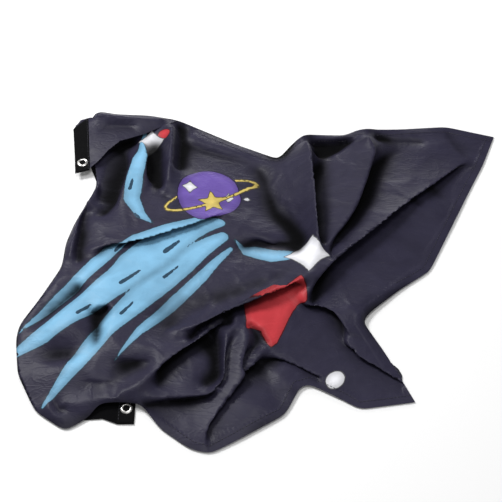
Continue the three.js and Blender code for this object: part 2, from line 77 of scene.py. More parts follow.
# Creases: crests and hollows as x, y and height.
CREASES = {
    "left_rim": [
        (-223, 162, 15.9), (-233, 132, 17.1), (-243, 103, 17.1), (-248, 66, 15.9), (-249, 36, 14.6),
    ],
    "left_hollow": [(-236, 132, 3.6), (-236, 97, 3.6), (-236, 62, 3.6), (-238, 33, 3.6)],
    "left_wedge": [(-221, 152, 14.6), (-225, 123, 14.6), (-219, 84, 14.6)],
    "shoulder_hollow": [(-196, 234, 3.6), (-200, 189, 3.6), (-209, 143, 3.6), (-216, 113, 3.6)],
    "shoulder_hollow_two": [(-208, 218, 3.6), (-213, 180, 3.6), (-218, 137, 3.6)],
    "under_corner": [(-210, 236, 3.6), (-192, 244, 3.6), (-177, 246, 3.6)],
    "shoulder": [(-174, 214, 18.3), (-178, 181, 20.7), (-184, 154, 19.5), (-189, 127, 15.9)],
    "side_edge": [(-164, 238, 22), (-154, 210, 23.2), (-156, 181, 20.7), (-158, 137, 15.9)],
    "side_hollow": [(-151, 234, 3.6), (-150, 195, 3.6), (-143, 172, 3.6)],
    "side_hollow_two": [(-139, 232, 3.6), (-137, 195, 3.6), (-133, 161, 3.6)],
    "pinch": [
        (-118, 266, 26.8), (-117, 231, 30.5), (-118, 192, 30.5), (-122, 160, 23.2), (-124, 139, 13.4),
    ],
    "pinch_foot": [(-107, 277, 2.8), (-107, 236, 6), (-108, 192, 8)],
    "top_hem_rise": [(-97, 261, 12.2), (-59, 240, 11), (-7, 221, 8)],
    "top_hem_dip": [(-100, 244, 6), (-69, 229, 2.8), (-34, 217, 2.8), (-6, 211, 2.8)],
    "chest": [
        (-219, 46, 14.6), (-196, 53, 17.1), (-175, 56, 19.5), (-141, 64, 20.7), (-105, 80, 19.5),
        (-72, 94, 17.1), (-43, 109, 14.6),
    ],
    "chest_foot": [(-214, 43, 7), (-175, 55, 7), (-138, 63, 7), (-103, 79, 7), (-71, 91, 7), (-43, 103, 8)],
    "disc_fold": [(-4, 165, 8), (-28, 144, 7), (-50, 117, 8)],
    "pleat_foot": [(9, 197, 1.8), (4, 163, 1.8), (17, 118, 1.8), (43, 86, 1.8), (67, 58, 2.3)],
    "pleat": [
        (81, 227, 36.6), (82, 185, 42.7), (84, 139, 42.7), (85, 96, 40.3), (87, 58, 32.9), (90, 22, 24.4),
    ],
    "pleat_back": [(90, 189, 2.3), (93, 144, 1.8), (96, 98, 2.3), (98, 58, 7)],
    "upper_patch": [(-24, 96, 12.2), (6, 71, 13.4), (32, 55, 11)],
    "band_dip": [(-10, 56, 2.8), (27, 53, 2.8), (64, 47, 6)],
    "band_rise": [(-21, 28, 11), (26, 32, 14.6), (70, 32, 18.3)],
    "back_lip": [(92, 249, 15.9), (127, 253, 14.6), (155, 254, 17.1)],
    "back_pit": [(94, 241, 0.8), (123, 241, 0.8), (147, 248, 1.1)],
    "back_pit_low": [(95, 221, 0.8), (113, 227, 0.8), (132, 237, 0.8)],
    "pit_front": [(96, 193, 11), (119, 205, 12.2), (145, 225, 14.6), (165, 243, 20.7)],
    "second": [
        (174, 240, 30.5), (181, 213, 28.1), (169, 176, 26.8), (151, 123, 24.4), (134, 92, 22),
        (111, 57, 20.7),
    ],
    "second_foot": [
        (219, 233, 2.8), (200, 200, 2.3), (182, 149, 1.8), (162, 105, 2.3), (138, 66, 6), (115, 31, 12.2),
    ],
    "diagonal": [
        (331, 225, 2.8), (294, 193, 11), (252, 156, 17.1), (213, 120, 20.7), (174, 81, 23.2),
        (136, 45, 25.6), (108, 17, 26.8), (86, -12, 24.4), (71, -37, 18.3),
    ],
    "diagonal_foot": [
        (332, 207, 1.3), (299, 180, 1.3), (263, 150, 1.3), (229, 121, 1.3), (192, 83, 1.8), (157, 48, 1.8),
        (127, 21, 2.3), (105, -6, 2.3), (85, -35, 2.8),
    ],
    "back_hem_rise": [(200, 266, 8), (264, 270, 6), (295, 277, 2.8)],
    "back_hem_dip": [(192, 257, 2.3), (226, 252, 1.8), (261, 252, 1.8)],
    "corner_dip": [(303, 272, 1.8), (315, 244, 1.3), (329, 220, 1.3)],
    "corner_rise": [(288, 255, 7), (301, 220, 7)],
    "small_pleat": [(266, 269, 7), (261, 239, 7), (272, 211, 6)],
    "fly_rise": [(244, 131, 7), (267, 116, 7), (288, 105, 2.8)],
    "fly_dip": [(263, 166, 1.8), (284, 144, 1.8)],
    "lower_fly_edge": [(137, -38, 12.2), (174, -21, 11), (218, 0, 6)],
    "wing_edge": [(71, -43, 15.9), (89, -45, 15.9), (108, -52, 15.9), (119, -69, 14.6), (126, -85, 13.4)],
    "wing_foot": [(74, -48, 1.8), (91, -52, 1.8), (104, -61, 1.8), (114, -78, 1.8), (121, -95, 1.8)],
    "tab": [(123, -57, 15.9), (135, -43, 15.9), (146, -64, 14.6)],
    "strip_edge": [(124, -97, 11), (142, -119, 11), (170, -136, 8), (195, -157, 6)],
    "strip_foot": [(123, -105, 1.8), (139, -124, 1.8), (166, -143, 1.3), (190, -163, 1.3)],
    "low_crease": [(23, -119, 11), (57, -132, 8), (88, -149, 7)],
    "low_crease_foot": [(26, -123, 1.8), (58, -137, 1.8), (86, -153, 1.3)],
    "third": [
        (15, -114, 18.3), (0, -139, 18.3), (-16, -164, 17.1), (-36, -191, 14.6), (-53, -215, 11),
        (-58, -232, 7), (-53, -244, 2.3),
    ],
    "third_foot": [
        (27, -122, 2.3), (9, -146, 1.8), (-10, -172, 1.8), (-30, -197, 1.8), (-47, -220, 1.3),
        (-49, -234, 1.3),
    ],
    "lobe_arc": [(28, -132, 11), (41, -157, 12.2), (45, -177, 7)],
    "lobe_dip": [(17, -135, 2.3), (31, -164, 2.3), (33, -180, 2.3)],
    "lobe_rise": [(-19, -213, 8), (6, -190, 11), (19, -166, 8)],
    "pocket": [
        (-18, -66, 18.3), (-31, -93, 22), (-33, -122, 22), (-32, -148, 20.7), (-38, -169, 18.3),
        (-55, -177, 17.1), (-84, -178, 15), (-115, -179, 14), (-141, -178, 13.5), (-176, -178, 13.5),
        (-208, -184, 12), (-237, -188, 9),
    ],
    "pocket_hollow": [(-45, -96, 1.8), (-44, -120, 1.3), (-41, -145, 1.8), (-59, -157, 2.8)],
    "pocket_gap": [
        (-20, -92, 14), (-21, -123, 10), (-25, -151, 7), (-47, -179, 2.3), (-77, -185, 1.3),
        (-110, -188, 2.4), (-132, -188, 3),
    ],
    "pocket_third": [
        (-7, -84, 20.7), (-9, -112, 20.7), (-12, -137, 19), (-26, -168, 15), (-44, -196, 11),
    ],
    "pocket_foot": [(7, -106, 8), (1, -134, 6), (-14, -168, 5), (-34, -196, 4)],
    "red_crease": [(-4, -66, 18.3), (14, -85, 18.3), (25, -104, 15.9)],
    "red_foot": [(0, -77, 11), (14, -89, 8), (21, -103, 8)],
    "spread": [
        (84, -1, 28.1), (52, -20, 29.3), (19, -36, 29.3), (-15, -51, 28.1), (-47, -66, 25.6),
        (-77, -81, 22), (-102, -83, 15.9),
    ],
    "spread_foot": [
        (70, -16, 13.4), (32, -32, 11), (-1, -48, 6), (-33, -67, 2.3), (-59, -84, 2.3), (-78, -94, 2.8),
    ],
    "spread_behind": [(46, 4, 14.6), (5, -14, 13.4), (-42, -30, 11), (-87, -38, 8), (-117, -37, 8)],
    "spread_upper": [(67, 11, 19.5), (7, -3, 18.3), (-47, -15, 14.6), (-82, -24, 13.4)],
    "sweep": [
        (-26, -67, 17.1), (-60, -93, 20.7), (-91, -116, 22), (-121, -143, 20.7), (-145, -164, 19.5),
        (-173, -182, 17.1),
    ],
    "sweep_foot": [(-27, -71, 2.8), (-50, -98, 2.3), (-78, -118, 2.8), (-106, -140, 3.6), (-116, -163, 6)],
    "inner_band": [(-52, -114, 12.2), (-72, -129, 13.4), (-100, -160, 11)],
    "hollow_a": [(-113, -69, 7), (-92, -82, 6), (-75, -91, 6)],
    "crease_a": [(-163, -95, 15.9), (-136, -110, 18.3), (-117, -125, 18.3)],
    "rise_b": [(-187, -125, 15.9), (-156, -125, 15.9), (-125, -128, 17.1)],
    "hollow_b": [(-176, -138, 6), (-151, -138, 6), (-131, -136, 7)],
    "rise_c": [(-202, -154, 14.6), (-169, -157, 14.6), (-143, -155, 15.9)],
    "hollow_c": [(-215, -165, 7), (-185, -167, 7), (-164, -165, 8)],
    "tuck": [(-221, -58, 17.1), (-203, -48, 19.5), (-192, -44, 19.5), (-180, -54, 18.3)],
    "tuck_hole": [(-214, -54, 3.6), (-201, -51, 3.6), (-192, -46, 3.6)],
    "tuck_crease": [(-205, -63, 6), (-203, -82, 7), (-202, -104, 11)],
    "tuck_right": [(-195, -72, 17.1), (-188, -106, 17.1)],
    "knee": [(-214, -78, 17.1), (-237, -87, 17.1), (-259, -100, 15.9)],
    "left_dark": [(-236, -13, 3.6), (-258, -34, 3.6), (-279, -57, 3.6), (-291, -74, 6)],
    "stream_rise": [(-214, -24, 18.3), (-250, -58, 17.1), (-272, -84, 14.6)],
    "outer_rim": [(-253, 9, 12.2), (-271, -21, 13.4), (-291, -57, 13.4), (-299, -83, 13.4)],
    "shin_hollow": [(-274, -110, 7), (-251, -117, 3.6), (-227, -118, 6)],
    "shin": [(-270, -143, 12.2), (-249, -135, 13.4), (-215, -126, 15.9)],
    "curl": [(-253, -187, 11), (-249, -200, 8), (-236, -203, 7), (-227, -196, 6)],
    "curl_hole": [(-249, -184, 3.6), (-241, -194, 3.6), (-233, -189, 3.6)],
    "hip": [(-218, 15, 15.9), (-179, 8, 17.1), (-138, 8, 15.9), (-98, 26, 14.6)],
}

# Rounded rises and dips; every other crease is sharp.
ROUNDED = (
    "left_wedge", "disc_fold", "upper_patch", "band_rise", "back_hem_rise",
    "fly_rise", "fly_dip", "lobe_arc", "lobe_rise", "lobe_dip", "spread_behind", "spread_upper",
    "inner_band", "hollow_a", "rise_b", "hollow_b", "rise_c", "hollow_c", "tuck_right", "knee",
    "stream_rise", "outer_rim", "shin_hollow", "shin", "hip", "top_hem_rise", "corner_rise",
    "small_pleat",
)

# How far a crest leans over what lies beside it, and how far a foot is tucked in below.
LEANS = {
    "pleat": (8, 0),
    "pleat_foot": (18, -3),
    "band_dip": (2, 12),
    "strip_pleat": (20, 0),
    "strip_pleat_foot": (-20, 0),
    "hollow_b": (0, 10),
    "hollow_c": (0, 10),
    "pleat_back": (-22, 0),
    "diagonal": (5, -5),
    "diagonal_foot": (-32, 34),
    "second": (4, 0),
    "second_foot": (-20, 5),
    "chest": (0, -4),
    "chest_foot": (-5, 26),
    "spread": (1, -5),
    "spread_foot": (-5, 32),
    "pocket": (0, -3),
    "pocket_gap": (-13, 9),
    "pocket_third": (3, 0),
    "pocket_foot": (-15, 6),
    "sweep": (2, -3),
    "sweep_foot": (-13, 22),
    "third": (3, -3),
    "third_foot": (-22, 19),
    "wing_edge": (0, -4),
    "wing_foot": (7, 32),
    "strip_edge": (-3, -4),
    "strip_foot": (18, 20),
    "low_crease": (0, -2),
    "low_crease_foot": (8, 18),
    "lower_fly_edge": (0, -3),
    "tuck": (0, -4),
    "tuck_hole": (0, 6),
    "side_edge": (4, 0),
    "side_hollow": (-9, 0),
    "top_hem_dip": (0, 5),
    "back_hem_dip": (0, 4),
    "back_pit": (4, 6),
    "left_hollow": (-6, 0),
    "shoulder_hollow": (13, 0),
    "shoulder_hollow_two": (-4, 0),
    "left_dark": (9, 7),
    "red_foot": (-6, 8),
    "pit_front": (-1, 6),
    "corner_dip": (-5, 4),
}

# Hem of the turned corner, from the end of its fold to the tip and up the tape's outer edge.
CORNER_HEM = [
    (-112, 287, 16), (-122, 277, 20), (-139, 266, 22), (-159, 254, 22), (-177, 247, 22),
    (-196, 241, 21), (-213, 225, 18), (-226, 207, 15), (-237, 196, 12.5), (-259, 185, 11.2),
    (-263, 220, 12.5), (-268, 262, 23), (-258, 278, 26), (-243, 286, 24),
]
CORNER_MARKS = {
    "corner_crest": [(-232, 286, 29), (-205, 281, 28), (-170, 279, 26), (-135, 281, 23)],
    "corner_dip": [(-222, 262, 20), (-200, 265, 20), (-176, 266, 20)],
    "eyelet_seat": [(-258, 207, 11.2), (-242, 206, 11.2)],
    "eyelet_seat_two": [(-254, 196, 11.2), (-246, 216, 11.6)],
}

# The heading strip, folded under along the left outline: its heading edge, then the bottom hem.
STRIP_EDGE = [
    (-243, 286, 24), (-238, 270, 9), (-226, 225, 1.9), (-195, 152, 1.9), (-153, 40, 1.9),
    (-146, -60, 1.9), (-146, -211, 1.9), (-168, -211, 1.9), (-186, -204, 1.9), (-212, -206, 1.5),
    (-240, -204, 1.5), (-262, -190, 1.8), (-272, -194, 4),
]
STRIP_MARKS = {
    "strip_bed": [
        (-233, 222, 1.7), (-219, 188, 1.4), (-215, 162, 1.3), (-239, 99, 1.3), (-247, 58, 1.3),
        (-247, 26, 1.3), (-271, -24, 1.3), (-294, -68, 1.3), (-296, -94, 1.3), (-287, -138, 1.3),
        (-262, -184, 1.6),
    ],
    "strip_pleat": [(-224, 70, 3), (-220, 10, 3), (-220, -50, 3), (-222, -110, 3), (-226, -160, 3)],
    "strip_pleat_foot": [
        (-210, 70, 1.3), (-206, 10, 1.3), (-206, -50, 1.3), (-208, -110, 1.3), (-210, -160, 1.3),
    ],
}

# Heading tape: middle of its low run, and the two edges of its end on the turned corner.
TAPE_RUN = [
    (-256, 276, 22), (-249, 262, 9), (-238, 232, 1.85), (-206, 152, 1.85), (-164, 40, 1.85),
    (-157, -60, 1.85), (-157, -211, 1.85),
]
TAPE_OUTER = [(-259, 186), (-268, 262)]
TAPE_INNER = [(-238, 192), (-247, 283)]

# The rim's corners are rounded by this many rounds of averaging, except tips that turn further than this.
ROUNDING = 10
TIP_TURN = 75

# Stitch rows run this far inside the hems.
HEM_INSET = 10

# Where the outline's stretches start and end: the fold of the heading strip, and the hems.
STRIP_START, STRIP_END = 37, 48
TOP_HEM, FLY_HEM, BOTTOM_HEM, ALL_HEMS = slice(1, 14), slice(13, 19), slice(22, 32), slice(1, 32)

# How firmly the rim, a sharp crease and a rounded one hold their heights against the sheet's own stiffness.
RIM_FIRM, SHARP_FIRM, ROUND_FIRM = 400.0, 60.0, 6.0
HEIGHT_STIFFNESS, LEAN_STIFFNESS = 12.0, 0.1

# Lowest heights of the top layer and of the layers under it and over it, in millimetres.
LOWEST_BODY, LOWEST_OTHER = 1.2, 0.7

# Rounds of easing that take the roughness off the folds' edges, and how far each round goes.
SMOOTHING = 2
SMOOTHING_SHARE = 0.4

# Size of the small wrinkles, in millimetres.
WRINKLES = 0.6

# Painted shade in the folds: a hollow is painted darkest where it lies this far below the cloth around it,
# after these rounds of averaging.
PAINTED_SHADE_START, PAINTED_SHADE_SPAN = 0.3, 3.6
PAINTED_SHADE_ROUNDS = 90

# Crests above the first height stand this share higher.
CREST_FROM = 12
CREST_GAIN = 0.24

# The printed emblem: a purple planet with a star and a ring, and a comet's tail fanning out from behind
# it. Streams are x, y and half width. The disc and dots are x, y and radius, the star is x, y and its two
# radii, the ring is its two half axes, half width and tilt in degrees, and a spark is x, y and size.
# Strokes are x and y of both ends and half width.
STREAMS = [
    [(-48, 110, 5), (-108, 86, 11), (-160, 62, 13), (-212, 24, 12), (-262, -34, 9), (-306, -84, 2)],
    [(-44, 88, 9), (-104, 52, 20), (-165, 8, 24), (-222, -44, 18), (-272, -88, 14), (-312, -118, 6)],
    [(-38, 64, 8), (-90, 20, 17), (-144, -26, 19), (-190, -80, 15), (-226, -134, 12), (-262, -190, 3)],
    [(-28, 46, 4), (-66, 0, 9), (-104, -38, 10), (-146, -84, 7), (-176, -130, 1)],
    [(-160, 262, 3), (-162, 225, 9), (-172, 175, 12), (-172, 134, 12), (-158, 108, 8), (-138, 92, 1)],
    [(-24, 64, 1), (-6, 44, 8), (28, 33, 10), (62, 34, 7), (96, 44, 1)],
]
DISC = (-62, 146, 45)
STAR = (-56, 134, 23, 10)
RING = (66, 15, 2.6, 24)
SPARKS = [(-89, 158, 13), (-33, 142, 10), (-12, 142, 6), (78, 32, 34), (-150, 243, 24)]
RED_PATCHES = [
    [(-8, -50), (67, -2), (74, -16), (76, -36), (54, -70), (34, -104), (25, -110), (14, -88), (-6, -85)],
]
RED_DOT = (-131, 252, 10)
DOT = (105, -154, 11.5)
STROKES = [
    (-118, 68, -86, 84, 2.2), (-186, 34, -160, 50, 2.4), (-118, 34, -98, 48, 2.8),
    (-176, -10, -152, 8, 3.0), (-230, -58, -214, -44, 2.6), (-118, 0, -100, 16, 2.6),
    (-172, -58, -158, -40, 2.6), (-176, 150, -173, 168, 2.4), (-166, 108, -156, 100, 2.0),
]

# Lamps: name, place, size and power.
LIGHTS = (
    ("left_softbox", (-1.05, 0.75, 1.55), 0.7, 30.0),
    ("front_light", (0.6, -1.6, 1.8), 1.0, 4.0),
    ("top_light", (0.1, 0.0, 2.5), 0.8, 17.0),
    ("low_back_light", (0.1, 2.0, 0.7), 0.7, 11.0),
)
WORLD_STRENGTH = 0.28

# Camera: what it looks at, its height above the floor in degrees, its distance in metres, and its lens.
AIM = (-0.031, 0.0315, 0)
TILT = 55
DISTANCE = 1.372
LENS, SENSOR = 70, 36


# ---- Settings -----------------------------------------------------------------------------------


class CapeSizes(bpy.types.PropertyGroup):
    """Sizes of the cloth and its fittings."""

    panel_width: bpy.props.FloatProperty(
        name="Panel width", description="Heading edge to fly edge, laid flat", default=0.915,
        min=0.1, unit="LENGTH",
    )
    panel_height: bpy.props.FloatProperty(
        name="Panel height", description="Bottom hem to top hem, laid flat", default=0.61,
        min=0.1, unit="LENGTH",
    )
    tape_width: bpy.props.FloatProperty(
        name="Tape width", description="Width of the woven heading tape", default=0.022,
        min=0.005, unit="LENGTH",
    )
    tape_thickness: bpy.props.FloatProperty(
        name="Tape thickness", description="Both plies with the cloth between", default=0.0016,
        min=0.0005, unit="LENGTH",
    )
    net_spacing: bpy.props.FloatProperty(
        name="Net spacing", description="Spacing of the cloth's points", default=0.0032,
        min=0.002, unit="LENGTH",
    )
    stitch_length: bpy.props.FloatProperty(
        name="Stitch length", description="Length of one hem stitch", default=0.0032,
        min=0.001, unit="LENGTH",
    )
    thread_width: bpy.props.FloatProperty(
        name="Thread width", description="Width of the sewing thread", default=0.0008,
        min=0.0002, unit="LENGTH",
    )
    eyelet_flange: bpy.props.FloatProperty(
        name="Eyelet flange", description="Outer diameter of an eyelet", default=0.016,
        min=0.004, unit="LENGTH",
    )
    eyelet_bore: bpy.props.FloatProperty(
        name="Eyelet bore", description="Diameter of an eyelet's hole", default=0.008,
        min=0.002, unit="LENGTH",
    )


def colour(label, text, value):
    """Colour setting with a plain label."""
    return bpy.props.FloatVectorProperty(
        name=label, description=text, subtype="COLOR", size=4, min=0, max=1, default=(*value, 1)
    )


class CapeColours(bpy.types.PropertyGroup):
    """Colours of the cloth, print, tape, thread, metal and floor, as linear values."""

    cloth: colour("Cloth", "Dyed satin ground", (0.0235, 0.0215, 0.041))
    blue: colour("Blue ink", "Comet tail streams", (0.19, 0.41, 0.60))
    purple: colour("Purple ink", "Disc", (0.13, 0.08, 0.33))
    yellow: colour("Yellow ink", "Star", (0.80, 0.62, 0.17))
    white: colour("White ink", "Sparks and dot", (0.78, 0.78, 0.82))
    red: colour("Red ink", "Red patches", (0.52, 0.045, 0.055))
    tape: colour("Tape", "Woven heading tape", (0.0022, 0.0022, 0.0026))
    thread: colour("Thread", "Sewing thread", (0.012, 0.011, 0.020))
    metal: colour("Eyelet", "Nickel plating", (0.62, 0.61, 0.59))
    floor: colour("Floor", "Plain pale floor", (0.93, 0.93, 0.93))


# ---- Plan helpers -------------------------------------------------------------------------------


def spaced(path, step, closed=False):
    """Points along a path at an even step, with every corner kept, and each corner's place."""
    path = [np.array(p, float) for p in path]
    ends = path[1:] + path[:1] if closed else path[1:]
    points, corners = [], []
    for start, end in zip(path, ends):
        count = max(1, round(float(np.hypot(*(end - start)[:2])) / step))
        corners.append(len(points))
        points += [start + (end - start) * k / count for k in range(count)]
    if not closed:
        corners.append(len(points))
        points.append(path[-1])
    return np.array(points), corners


def softened(rim, corners):
    """Closed rim with its blunt corners rounded; the sharp tips stay."""
    held = np.zeros((len(rim), 1), bool)
    for k in corners:
        before = (rim[k] - rim[k - 1])[:2]
        after = (rim[(k + 1) % len(rim)] - rim[k])[:2]
        cosine = before @ after / (np.hypot(*before) * np.hypot(*after))
        held[k] = cosine < math.cos(math.radians(TIP_TURN))
    for _ in range(ROUNDING):
        around = (np.roll(rim, 1, axis=0) + np.roll(rim, -1, axis=0)) / 2
        rim = np.where(held, rim, (rim + around) / 2)
    return rim


def inside(polygon, xy):
    """True for the points inside a closed polygon."""
    x, y = xy[:, 0], xy[:, 1]
    hit = np.zeros(len(xy), bool)
    for a, b in zip(polygon, np.roll(polygon, -1, axis=0)):
        if a[1] == b[1]:
            continue
        crosses = (a[1] > y) != (b[1] > y)
        hit ^= crosses & (x < a[0] + (y - a[1]) * (b[0] - a[0]) / (b[1] - a[1]))
    return hit


def away(path, xy, closed=False):
    """Distance from each point to a path, and how wide the path is there."""
    path = np.array(path, float)
    ends = np.roll(path, -1, axis=0) if closed else path[1:]
    best = np.full(len(xy), 1e9)
    width = np.zeros(len(xy))
    for a, b in zip(path, ends):
        run = b[:2] - a[:2]
        t = np.clip(((xy - a[:2]) @ run) / max(run @ run, 1e-9), 0, 1)
        gap = np.hypot(*(xy - a[:2] - t[:, None] * run).T)
        here = a[2] + t * (b[2] - a[2]) if len(a) > 2 else 0 * t
        nearer = gap - here < best
        best = np.where(nearer, gap - here, best)
        width = np.where(nearer, here, width)
    return best, width


def inside_by(polygon, xy):
    """Signed distance to a polygon, positive inside it."""
    polygon = np.array(polygon, float)[:, :2]
    gap, _ = away(polygon, xy, closed=True)
    return np.where(inside(polygon, xy), gap, -gap)


# ---- The net of points --------------------------------------------------------------------------


def netted(rim, lines, step, seed):
    """One layer in triangles: points, triangles, and each point's height, firmness, leans and hinge."""
    rng = np.random.default_rng(seed)
    plan = rim[:, :2]
    verts, edges = [tuple(p) for p in plan], []
    wanted = [(z, RIM_FIRM, 0.0, 0.0, 1.0) for z in rim[:, 2]]
    edges += [(k, (k + 1) % len(plan)) for k in range(len(plan))]
    fixed = [plan]
    for name, line in lines.items():
        points, _ = spaced(line, step)
        keep = inside(plan, points[:, :2]) & (away(plan, points[:, :2], True)[0] > 0.9 * step)
        lean = LEANS.get(name, (0, 0))
        last = None
        for k, point in enumerate(points):
            if not keep[k]:
                last = None
                continue
            reach = min(k + 0.5, len(points) - k) / len(points)
            end = math.sin(math.pi / 2 * min(1, 4 * reach))
            verts.append(tuple(point[:2]))
            firm, sharp = (ROUND_FIRM, 0.0) if name in ROUNDED else (SHARP_FIRM, 1.0)
            rise = point[2] + CREST_GAIN * max(0, point[2] - CREST_FROM)
            wanted.append((rise, firm, lean[0] * end, lean[1] * end, sharp))
            if last is not None:
                edges.append((last, len(verts) - 1))
            last = len(verts) - 1
        fixed.append(points[keep][:, :2])
    fixed = np.concatenate(fixed)
    low, high = plan.min(0), plan.max(0)
    rows = np.arange(low[1], high[1], step * 0.866)
    grid = np.array([
        (x + (step / 2 if r % 2 else 0), y)
        for r, y in enumerate(rows) for x in np.arange(low[0], high[0], step)
    ])
    grid += rng.uniform(-0.14, 0.14, grid.shape) * step
    grid = grid[inside(plan, grid)]
    cells = {}
    for x, y in fixed:
        cells.setdefault((int(x // step), int(y // step)), []).append((x, y))
    free = []
    for x, y in grid:
        i, j = int(x // step), int(y // step)
        near = [p for a in (-1, 0, 1) for b in (-1, 0, 1) for p in cells.get((i + a, j + b), ())]
        if all((x - p[0]) ** 2 + (y - p[1]) ** 2 > (0.62 * step) ** 2 for p in near):
            free.append((x, y))
    verts += free
    wanted += [(0, 0, 0, 0, 0)] * len(free)
    found = delaunay_2d_cdt([Vector(v) for v in verts], edges, [], 1, 1e-3)
    xy = np.array([tuple(v) for v in found[0]])
    tris = np.array([f for f in found[2] if len(f) == 3])
    want = np.zeros((len(xy), 5))
    for k, sources in enumerate(found[3]):
        real = [wanted[s] for s in sources if s < len(wanted)]
        if real:
            want[k] = max(real, key=lambda w: w[1])
    return xy, tris, want


def links_of(tris):
    """Each edge of the triangles once."""
    pairs = np.concatenate([tris[:, [0, 1]], tris[:, [1, 2]], tris[:, [2, 0]]])
    return np.unique(np.sort(pairs, axis=1), axis=0)


def spread_out(links, count, values, weights, tension, bending, hinge=None, rounds=1200):
    """Heights between the creases, as a stiff sheet takes them that bends freely along its hinges."""
    a, b = links[:, 0], links[:, 1]
    degree = np.bincount(a, minlength=count) + np.bincount(b, minlength=count)

    def pull(z):
        gap = z[a] - z[b]
        return np.bincount(a, gap, count) - np.bincount(b, gap, count)

    def whole(z):
        first = pull(z)
        return tension * first + bending * pull(stiff * first) + weights * z

    stiff = np.ones(count) if hinge is None else 1.0 - hinge
    scale = 1 / (tension * degree + bending * (degree**2 + degree) + weights)
    z = np.full(count, values[weights > 0].mean())
    rest = weights * values - whole(z)
    step = scale * rest
    way = step.copy()
    size = rest @ step
    for _ in range(rounds if size > 0 else 0):
        image = whole(way)
        move = size / (way @ image)
        z += move * way
        rest -= move * image
        step = scale * rest
        fresh = rest @ step
        if fresh < 1e-9 * count:
            break
        way = step + fresh / size * way
        size = fresh
    return z


def eased(links, count, z, rounds, share=0.5):
    """Heights averaged with their neighbours."""
    a, b = links[:, 0], links[:, 1]
    degree = np.bincount(a, minlength=count) + np.bincount(b, minlength=count)
    for _ in range(rounds):
        around = (np.bincount(a, z[b], count) + np.bincount(b, z[a], count)) / degree
        z = z + share * (around - z)
    return z


# ---- Material helpers ---------------------------------------------------------------------------


def material(name):
    """New material with its shader node."""
    made = bpy.data.materials.new(name)
    made.use_nodes = True
    tree = made.node_tree
    tree.nodes.clear()
    shader = tree.nodes.new("ShaderNodeBsdfPrincipled")
    out = tree.nodes.new("ShaderNodeOutputMaterial")
    tree.links.new(shader.outputs["BSDF"], out.inputs["Surface"])
    return made, tree, shader


def add(tree, kind, **settings):
    """New node: plain words set properties, and a dict called inputs sets or links its sockets."""
    inputs = settings.pop("inputs", {})
    made = tree.nodes.new(kind)
    for key, value in settings.items():
        setattr(made, key, value)
    for key, value in inputs.items():
        socket = made.inputs[key]
        if isinstance(value, bpy.types.NodeSocket):
            tree.links.new(value, socket)
        else:
            socket.default_value = value
    return made


def maths(tree, operation, first, second=0.0, third=0.0):
    """One arithmetic step."""
    made = add(tree, "ShaderNodeMath", operation=operation, inputs={0: first, 1: second, 2: third})
    return made.outputs[0]


def ranged(tree, value, from_low, from_high, to_low=0.0, to_high=1.0):
    """Value moved from one range to another, and kept inside it."""
    return add(tree, "ShaderNodeMapRange", inputs={
        "Value": value, "From Min": from_low, "From Max": from_high, "To Min": to_low,
        "To Max": to_high}).outputs[0]


def toned(ink, share):
    """Colour made darker or lighter."""
    return tuple(share * c for c in ink[:3]) + (1,)


def mixed(tree, share, first, second):
    """Colour mix."""
    made = add(tree, "ShaderNodeMix", data_type="RGBA")
    for key, value in ((0, share), (6, first), (7, second)):
        if isinstance(value, bpy.types.NodeSocket):
            tree.links.new(value, made.inputs[key])
        else:
            made.inputs[key].default_value = value
    return made.outputs[2]


def group(name, ins, outs):
    """New node group with its sockets, and its input and output nodes."""
    tree = bpy.data.node_groups.new(name, "ShaderNodeTree")
    for label, kind in ins:
        tree.interface.new_socket(label, in_out="INPUT", socket_type=kind)
    for label, kind in outs:
        tree.interface.new_socket(label, in_out="OUTPUT", socket_type=kind)
    return tree, tree.nodes.new("NodeGroupInput"), tree.nodes.new("NodeGroupOutput")


def bump(tree, height, distance, strength=1.0, normal=None):
    """Bump node over an earlier one."""
    inputs = {"Height": height, "Distance": distance, "Strength": strength}
    if normal is not None:
        inputs["Normal"] = normal
    return add(tree, "ShaderNodeBump", inputs=inputs).outputs["Normal"]


def weave_group():
    """Fine cross weave on a pattern position: thread height and thread tint."""
    tree, start, end = group(
        "Fine weave",
        [("Position", "NodeSocketVector"), ("Threads per metre", "NodeSocketFloat")],
        [("Height", "NodeSocketFloat"), ("Tint", "NodeSocketFloat")],
    )
    scaled = add(tree, "ShaderNodeVectorMath", operation="SCALE",
                 inputs={0: start.outputs[0], "Scale": start.outputs[1]}).outputs[0]
    split = add(tree, "ShaderNodeSeparateXYZ", inputs={0: scaled})
    warp = maths(tree, "SINE", maths(tree, "MULTIPLY", split.outputs[0], math.tau))
    weft = maths(tree, "SINE", maths(tree, "MULTIPLY", split.outputs[1], math.tau))
    both = maths(tree, "MULTIPLY", warp, weft)
    slub = add(tree, "ShaderNodeTexNoise", inputs={"Vector": scaled, "Scale": 0.06, "Detail": 3.0})
    height = maths(tree, "MULTIPLY_ADD", both, 0.5, 0.5)
    tree.links.new(height, end.inputs[0])
    tree.links.new(slub.outputs["Fac"], end.inputs[1])
    return tree


